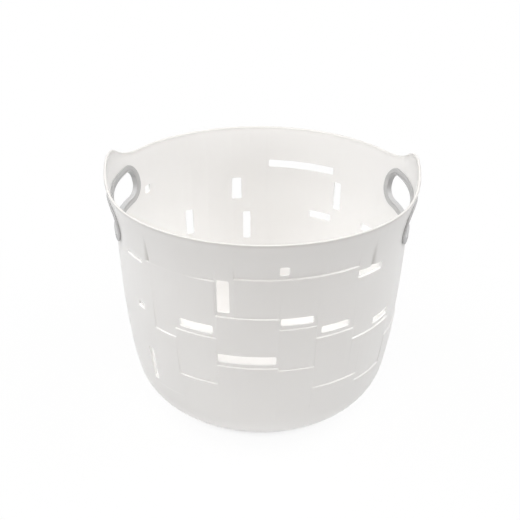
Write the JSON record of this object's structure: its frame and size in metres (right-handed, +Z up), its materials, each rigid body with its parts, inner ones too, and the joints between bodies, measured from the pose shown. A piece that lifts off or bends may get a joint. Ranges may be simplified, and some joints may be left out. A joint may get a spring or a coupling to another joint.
{
  "type": "plastic basket",
  "caption": "Round open plastic basket with a stepped, slotted side wall and raised ears, each with a grip ring around its hand hole.",
  "frame": {"origin": "middle of the standing ring under the base, on the floor", "axes": "+Z up; +X towards one ear and hand hole, -X towards the other; -Y is the side that faces the viewer in the picture"},
  "size_m": [0.382, 0.38, 0.317],
  "materials": {
    "shell": "satin off-white",
    "grip": "matte grey"
  },
  "bodies": {
    "root": {"tub": "shell", "right_grip_outer": "grip", "right_grip_inner": "grip", "left_grip_outer": "grip", "left_grip_inner": "grip"}
  },
  "joints": []
}
